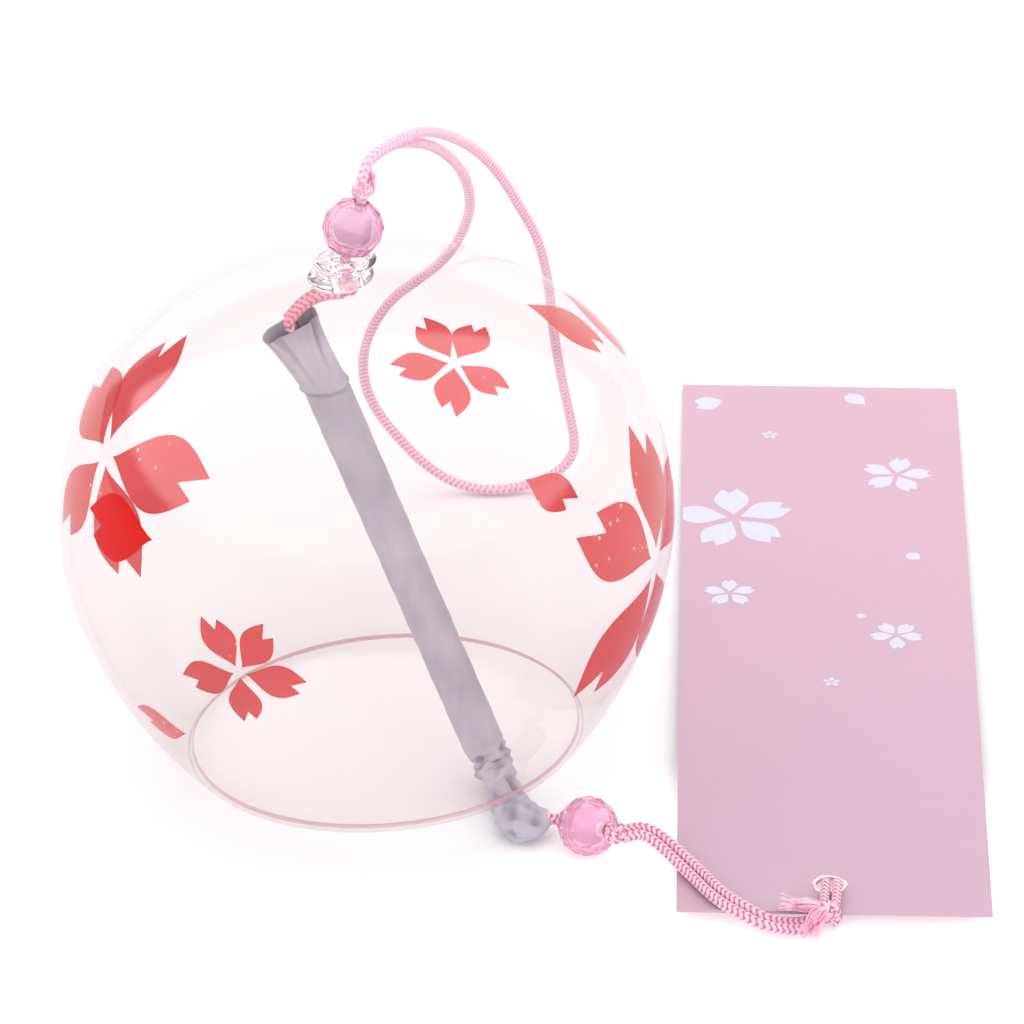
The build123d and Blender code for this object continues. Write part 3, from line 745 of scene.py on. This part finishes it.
blossoms = {
    "blossom_high": ((-52.3, 53.9), [
        (79, 9.6, 92, 8.3), (25, 9.3, 36, 8.5), (290, 7.1, 305, 7.9), (223, 7.7, 237, 8.6),
        (154, 8.7, 168, 8.0)]),
    "blossom_low": ((-112.5, -1.2), [
        (111, 7.4, 125, 8.5), (47, 7.3, 62, 8.1), (342, 8.2, 355, 8.9), (265, 8.2, 279, 7.5),
        (195, 9.0, 209, 8.0)]),
    "blossom_left": ((-153.5, 29.8), [
        (102, 18.9, 111, 17.0), (5, 17.7, 16, 19.4), (307, 15.7, 321, 17.6),
        (236, 16.0, 251, 13.8), (149, 15.7, 165, 16.5)]),
    "blossom_right": ((-21.8, -0.8), [
        (67, 16.7, 81, 18.5), (132, 16.9, 145, 19.4), (219, 21.1, 231, 18.8),
        (14, 17.5, 29, 16.8), (274, 15.8, 290, 17.5)]),
}
for name, (place, tips) in blossoms.items():
    flat = fan(tips)
    print_piece("print_" + name, on_glass(place, flat[..., 0], flat[..., 1]), red_ink, "bell")
loose_petals = {
    "over_left": ((-131.6, 20.2), (-152.4, 19.5), (-149.3, 15.4)),
    "low_left": ((-129.9, -21.0), (-144.2, -19.8), (-141.7, -22.6)),
    "middle": ((-52.2, 28.3), (-45.5, 20.2), (-41.8, 21.1)),
    "high_right": ((-4.4, 53.5), (-5.5, 36.6), (0.4, 36.0)),
    "far_right": ((20.0, 43.0), (6.0, 29.4), (12.5, 26.5)),
}


def flat_from(place, point):
    """Bearing in degrees and arc length in millimetres from one place on the bell to another."""
    here, there = towards(place), towards(point)
    east = unit(np.cross((0, 0, 1.0), here))
    arc = np.arccos(here @ there) * bell_r / mm
    return np.degrees(np.arctan2(there @ np.cross(here, east), there @ east)), arc


for name, (root, tip_a, tip_b) in loose_petals.items():
    (way_a, reach_a), (way_b, reach_b) = flat_from(root, tip_a), flat_from(root, tip_b)
    way_b = way_a + (way_b - way_a + 180) % 360 - 180
    flat = fan([(way_a, reach_a, way_b, reach_b)], root_share=0.0)
    print_piece("print_petal_" + name, on_glass(root, flat[..., 0], flat[..., 1], 2 * ink_lift),
                deep_ink if name == "over_left" else red_ink, "bell")

# Beads. Each is moulded twice: a matt inner ball, then a clear pink shell round it whose outside
# is cut in flat facets. The cord runs through both.
shell_paint, shell_shader, first = finish("clear pink acrylic", Roughness=0.06, IOR=1.45,
                                          Transmission_Weight=0.78)
edge = first.node("ShaderNodeLayerWeight", values={"Blend": 0.5}, out=1)
feed(shell_shader, Base_Color=edge.above(0.50, 0.5).blend((1.0, 0.72, 0.86), (1.0, 0.26, 0.54)))
for word, pale in (("upper", (0.56, 0.56, 0.54)), ("lower", (0.74, 0.38, 0.56))):
    core_paint, core_shader, first = finish("matt inner ball " + word, Roughness=0.75)
    feed(core_shader, Base_Color=first.noise(420.0, 3.0).above(0.5, 0.5).blend(
        tuple(np.multiply(pale, 0.9)), pale))
    repaint(word + "_bead_shell", shell_paint)
    repaint(word + "_bead_core", core_paint)

# Clapper paper. One strip of grey-lilac mulberry paper rolled round the glass tube: open and
# pinched flat into pleats above the neck, smooth along the tube, gathered in a crumpled band at
# its foot, and spread in a torn wad where the cord comes out.
paper_round = 144
paper_rows = 330
tube_top = np.array([-26.95, -26.55, 53.45])
tube_foot = np.array([-5.7, -37.3, 3.0])
mouth_place = np.array([-32.1, -24.55, 62.3])
paper_thick = 0.22
floor_gap = 0.12
wad_places = np.array([(-4.6, -41.75, 2.6), (-3.2, -45.85, 1.98), (-1.6, -49.55, 1.95)])
# Pleats at the mouth: bearing round the paper, its lean by the neck, width, and rise.
mouth_pleats = ((0.30, 0.10, 0.06, 0.25), (0.62, 0.28, 0.07, -0.60), (0.98, 0.22, 0.06, 0.34),
                (2.12, -0.25, 0.06, -0.50), (2.42, -0.28, 0.06, 0.32), (1.5, 0.0, 0.05, -0.12),
                (-0.6, 0.1, 0.08, 0.3), (-1.2, 0.0, 0.07, -0.4), (-2.2, -0.1, 0.09, 0.3))
# Creases in the wad: waves round it, slant along it, phase, and rise.
wad_creases = ((3, 0.35, 0.4, 0.30), (-4, 0.5, 2.2, 0.22), (5, 0.75, 1.3, 0.13),
               (-8, 1.3, 4.0, 0.09))
hollow_depth, hollow_width = 1.15, 0.23


def paper_surface():
    """Ellipses set along a bent centre line. Their half widths are read off between stations,
    pleats and creases push them in or out, and the two open ends turn back inside. The second
    result is painted shade: 1 deep in the folds, 0.45 inside the mouth, 0 on the smooth paper."""
    axis = tube_foot - tube_top
    stations = np.array([mouth_place - (mouth_place - tube_top) * 0.08,
                         mouth_place - (mouth_place - tube_top) * 0.16,
                         (mouth_place + tube_top) / 2, tube_top - axis * 0.012,
                         tube_top + axis * 0.02, tube_top + axis * 0.5, tube_top + axis * 0.945,
                         tube_foot + (0.3, -0.6, 0.15), *wad_places,
                         wad_places[2] + (1.2, -1.9, -0.15), wad_places[2] + (1.7, -2.9, -0.4)])
    wide = np.array([4.05, 3.75, 3.25, 2.85, 2.95, 2.77, 2.77, 2.6, 2.15, 2.5, 3.4, 3.2, 0.3])
    deep = np.array([0.85, 1.0, 1.75, 2.6, 2.9, 2.77, 2.77, 2.6, 2.1, 1.85, 1.75, 1.3, 0.2])
    run = run_of(stations)
    mouth_at, neck_at, sleeve_at, foot_at, wad_at = run[[1, 3, 4, 6, 8]]
    s = np.linspace(0, run[-1], paper_rows)
    centre = np.stack([np.interp(s, run, stations[:, axis]) for axis in range(3)], axis=1)
    soft = np.exp(-0.5 * (np.arange(-6, 7) / 2.6) ** 2)
    soft /= soft.sum()

    def softened(values):
        padded = np.pad(values, 6, mode="reflect", reflect_type="odd")
        return np.convolve(padded, soft, "valid")

    centre = np.stack([softened(centre[:, axis]) for axis in range(3)], axis=1)
    half_wide = softened(np.interp(s, run, wide))
    half_deep = softened(np.interp(s, run, deep))
    ahead = np.gradient(centre, axis=0)
    ahead /= np.linalg.norm(ahead, axis=1, keepdims=True)
    blend = np.clip((s - neck_at) / (wad_at - neck_at), 0, 1)[:, None]
    across = (1 - blend) * np.array([0.924, 0, 0.382]) + blend * np.array([0.94, 0.33, 0.06])
    across = across - ahead * (across * ahead).sum(axis=1, keepdims=True)
    across /= np.linalg.norm(across, axis=1, keepdims=True)
    over = np.cross(ahead, across)
    turn = full_turn(paper_round)[None, :]
    place = s[:, None]
    flare = np.clip(1 - (place - mouth_at) / (neck_at - mouth_at), 0, 1)
    sharp = flare ** 0.5
    push = 0 * place + 0 * turn
    for middle, lean, width, rise in mouth_pleats:
        offset = (turn - middle - lean * (1 - flare) + np.pi) % (2 * np.pi) - np.pi
        push = push + rise * np.clip(1 - np.abs(offset) / (3 * width), 0, 1) * sharp
    # One fold runs round the neck, a groove beside a ridge.
    fold_at = neck_at + 1.1 * np.sin(turn + 0.9)
    push = push + 0.30 * np.exp(-(((place - fold_at + 0.22) / 0.22) ** 2)) - 0.34 * np.exp(
        -(((place - fold_at - 0.25) / 0.20) ** 2))
    # Along the tube the roll's seam stands up, and its skin is a little uneven.
    seam = np.exp(-(((turn - 4.4 - 0.02 * place) / 0.05) ** 2))
    tube_part = np.clip((place - sleeve_at) / 3, 0, 1) * np.clip((foot_at - place) / 3, 0, 1)
    push = push + tube_part * (0.05 * seam + 0.03 * np.sin(place * 0.9 + 2 * turn)
                               + 0.02 * np.sin(place * 2.3 - 3 * turn + 1))
    # The wad is creased all over, and has one deep hollow along its upper side.
    wad = np.clip((place - foot_at + 0.3) / 1.5, 0, 1) * np.clip((run[-1] - place) / 1.5, 0, 1)
    crease = 0
    for waves, slant, phase, rise in wad_creases:
        crease = crease + rise * (1 - 2 * np.abs(np.sin(waves * turn / 2 + slant * place
                                                        + phase + 0.35 * np.sin(turn + place))))
    hollow_at = 1.25 - 0.20 * (place - wad_at)
    valley = (turn - hollow_at + np.pi) % (2 * np.pi) - np.pi
    crease = crease - hollow_depth * np.exp(-((valley / hollow_width) ** 2)) * np.clip(
        (place - wad_at) / 1.5, 0, 1)
    push = push + wad * crease
    # The band at the tube's foot is gathered in close rings.
    gather = np.clip((place - foot_at) / 0.8, 0, 1) * np.clip((wad_at - 0.3 - place) / 1.2, 0, 1)
    push = push + 0.13 * gather * np.sin(place * 4.6 + 1.2 * np.sin(turn) + 0.7 * np.sin(3 * turn))
    half_wide, half_deep = half_wide[:, None] + push, half_deep[:, None] + push
    mouth_fade = np.clip(1 - place / 5, 0, 1)
    lift = mouth_fade * (0.85 * np.clip(1.6 * np.sin(turn - 0.15), -1, 1)
                         + 0.08 * np.sin(5 * turn))
    points = (centre[:, None] + half_wide[..., None] * np.cos(turn)[..., None] * across[:, None]
              + half_deep[..., None] * np.sin(turn)[..., None] * over[:, None]
              + lift[..., None] * ahead[:, None])
    inside = centre[:, None] + (points - centre[:, None]) * (
        1 - paper_thick / np.linalg.norm(points - centre[:, None], axis=2, keepdims=True))
    neck_row = np.searchsorted(s, sleeve_at)
    throat = centre[neck_row][None, None] + 0 * points[:1]
    end = centre[-1][None, None] + 0 * points[:1]
    all_points = np.concatenate([throat, inside[:neck_row][::-1], points, end])
    all_points[..., 2] = np.maximum(all_points[..., 2], floor_gap)
    # Painted shade: darkest where the folds push the paper in deepest, and in part on the inside
    # of the mouth.
    fold_shade = np.clip((-push - 0.15) / 0.55, 0, 1)
    shadow = np.concatenate([1 + 0 * fold_shade[:1], 0.45 + 0 * fold_shade[:neck_row], fold_shade, fold_shade[-1:]])
    return all_points * mm, shadow


paper_points, paper_fold_shade = paper_surface()
paper = skin("clapper_paper", paper_points, merge=True, painted_shade_map=paper_fold_shade)
paper_paint, paper_shader, first = finish("mulberry paper", Roughness=0.85,
                                          Specular_IOR_Level=0.25, Sheen_Weight=0.15)
fibre_way = first.node("ShaderNodeMapping", values={
    "Vector": first.place(), "Rotation": (0.4, 0.2, 0.9),
    "Scale": (1.0, 1.0, 0.35)})
fibre = first.noise(900.0, 4.0, fibre_way, Roughness=0.65)
mottle = 0.35 * fibre + 0.65 * first.noise(160.0, 2.0)
flat_paper = mottle.above(0.5, 0.5).blend((0.45, 0.42, 0.48), (0.59, 0.56, 0.63))
# The dark colour is painted shade, laid into the folds and the inside of the mouth.
fold_shade = first.kept("painted_shade_map")
feed(paper_shader, Base_Color=fold_shade.blend(flat_paper, (0.29, 0.26, 0.31)),
     Normal=fibre.bump(0.35, 0.2 * mm))
paper.data.materials.append(paper_paint)
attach(paper, "clapper")
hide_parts("paper_wrap")

# Wind card. A slip of pale pink card, printed white with blossoms and loose petals, whose near
# end rests on its cord. A hole was punched near its edge, and the paper's torn rim stands up.
card_lift, card_length, card_t = 1.6, 141.0, 0.45
card_inner_half = 19.85
card_near_edge = np.array([37.57, -70.47, card_lift])
card_yaw = np.radians(1.77)
card_slope = np.arcsin(card_lift / card_length)
card_side = np.array([np.cos(card_yaw), -np.sin(card_yaw), 0])
card_way = (np.array([np.sin(card_yaw), np.cos(card_yaw), 0]) * np.cos(card_slope)
            - np.array([0, 0, np.sin(card_slope)]))
card_up = np.cross(card_side, card_way)
print_lift = 0.02
card_notch, card_bulge = 0.86, 0.26
card_ink, white_shader, first = finish("white card ink", Roughness=0.6)
feed(white_shader, Base_Color=first.noise(1500.0, 3.0).above(0.5, 0.6).blend(
    (0.655, 0.635, 0.72), (0.70, 0.68, 0.76)))


def on_card(u, v, lift=print_lift):
    """Place on the card's upper face, u across it and v along it from its near edge."""
    return (card_near_edge + u[..., None] * card_side + v[..., None] * card_way
            + np.asarray(card_t + lift)[..., None] * card_up) * mm


def blossom(bearings, reach):
    """Five like petals, each with its two tips 7 degrees either side of its bearing."""
    return fan([(bearing - 7, reach, bearing + 7, reach * 0.97) for bearing in bearings],
               notch=card_notch, bulge=card_bulge) / mm


card_blossoms = {
    "large": ((-12.5, 101.2), (95, 27, -46, -115, 171), 8.6),
    "left": ((-13.2, 80.1), (92, 22, -50, -125, 165), 3.7),
    "right": ((9.5, 69.3), (125, 55, -8, -88, 190), 3.7),
    "high": ((-7.4, 125.9), (90, 20, -50, -125, 160), 1.25),
    "low": ((0.5, 56.6), (90, 20, -50, -125, 160), 1.25),
    "plain_corner": ((10.6, 114.5), (80, 8, -64, -136, 152), 5.2),
}
for name, (middle, bearings, reach) in card_blossoms.items():
    flat = blossom(bearings, reach)
    inside_card = np.maximum(flat[..., 0] + middle[0], -card_inner_half)
    print_piece("card_blossom_" + name, on_card(inside_card, flat[..., 1] + middle[1]), card_ink,
                "strip")
card_petals = {
    "far_left": ((-14.0, 136.3), (-18.4, 135.7), (-18.1, 133.6), 0.3),
    "far_right": ((6.7, 135.4), (3.6, 138.3), (4.1, 139.0), 0.3),
    "middle_right": ((13.4, 90.2), (11.4, 91.7), (11.6, 92.0), 0.4),
    "by_blossom": ((5.6, 74.2), (4.1, 74.6), (4.1, 74.3), 0.4),
}
for name, (root, tip_a, tip_b, bulge) in card_petals.items():
    root, tip_a, tip_b = [np.array(point) for point in (root, tip_a, tip_b)]
    notch = root + card_notch * (tip_a / 2 + tip_b / 2 - root)
    flat = petal(root, tip_a, tip_b, notch, bulge)[None]
    print_piece("card_petal_" + name, on_card(flat[..., 0], flat[..., 1]), card_ink, "strip")

card_paint, card_shader, first = finish("pink card", Roughness=0.7, Specular_IOR_Level=0.3)
place = first.place()
tooth = first.noise(1400.0, 3.0, place)
far = first.node("ShaderNodeSeparateXYZ", values={0: place}, out=1)
base = far.above(0.0, 0.15).blend((0.57, 0.395, 0.48), (0.655, 0.425, 0.51))
speckle = (0.5 * tooth + 0.5 * first.noise(26.0, 2.0, place)).above(0.5, 0.5)
feed(card_shader, Base_Color=first.node(
    "ShaderNodeMix", {"data_type": "RGBA", "blend_type": "MULTIPLY"},
    {0: 1.0, 6: base, 7: speckle.blend((0.96, 0.96, 0.96), (1.0, 1.0, 1.0))}, 2),
     Normal=tooth.bump(0.12, 0.1 * mm))
repaint("paper_strip", card_paint)

hole_middle = (-0.55, 6.3)
hole_r = 1.7


def torn_ring():
    """A low ridge round the hole whose outer edge wanders, highest at a third of its width."""
    turn = full_turn(120)[None, :]
    share = np.linspace(0, 1, 8)[:, None]
    reach = 0.42 + 0.10 * np.sin(3 * turn + 1) + 0.07 * np.sin(7 * turn) + 0.04 * np.sin(17 * turn)
    radius = hole_r + 0.04 + share * reach
    lift = 0.03 + 0.22 * np.sin(np.pi * share ** 0.6) * (0.8 + 0.2 * np.sin(9 * turn))
    return on_card(hole_middle[0] + radius * np.cos(turn), hole_middle[1] + radius * np.sin(turn),
                   lift)


ring = skin("torn_hole_rim", torn_ring()[::-1])
rim_paint, rim_shader, first = finish("torn card core", Roughness=0.8)
feed(rim_shader, Base_Color=first.noise(1500.0, 4.0).above(0.5, 0.5).blend(
    (0.88, 0.78, 0.68), (1.0, 0.93, 0.84)))
ring.data.materials.append(rim_paint)
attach(ring, "strip")
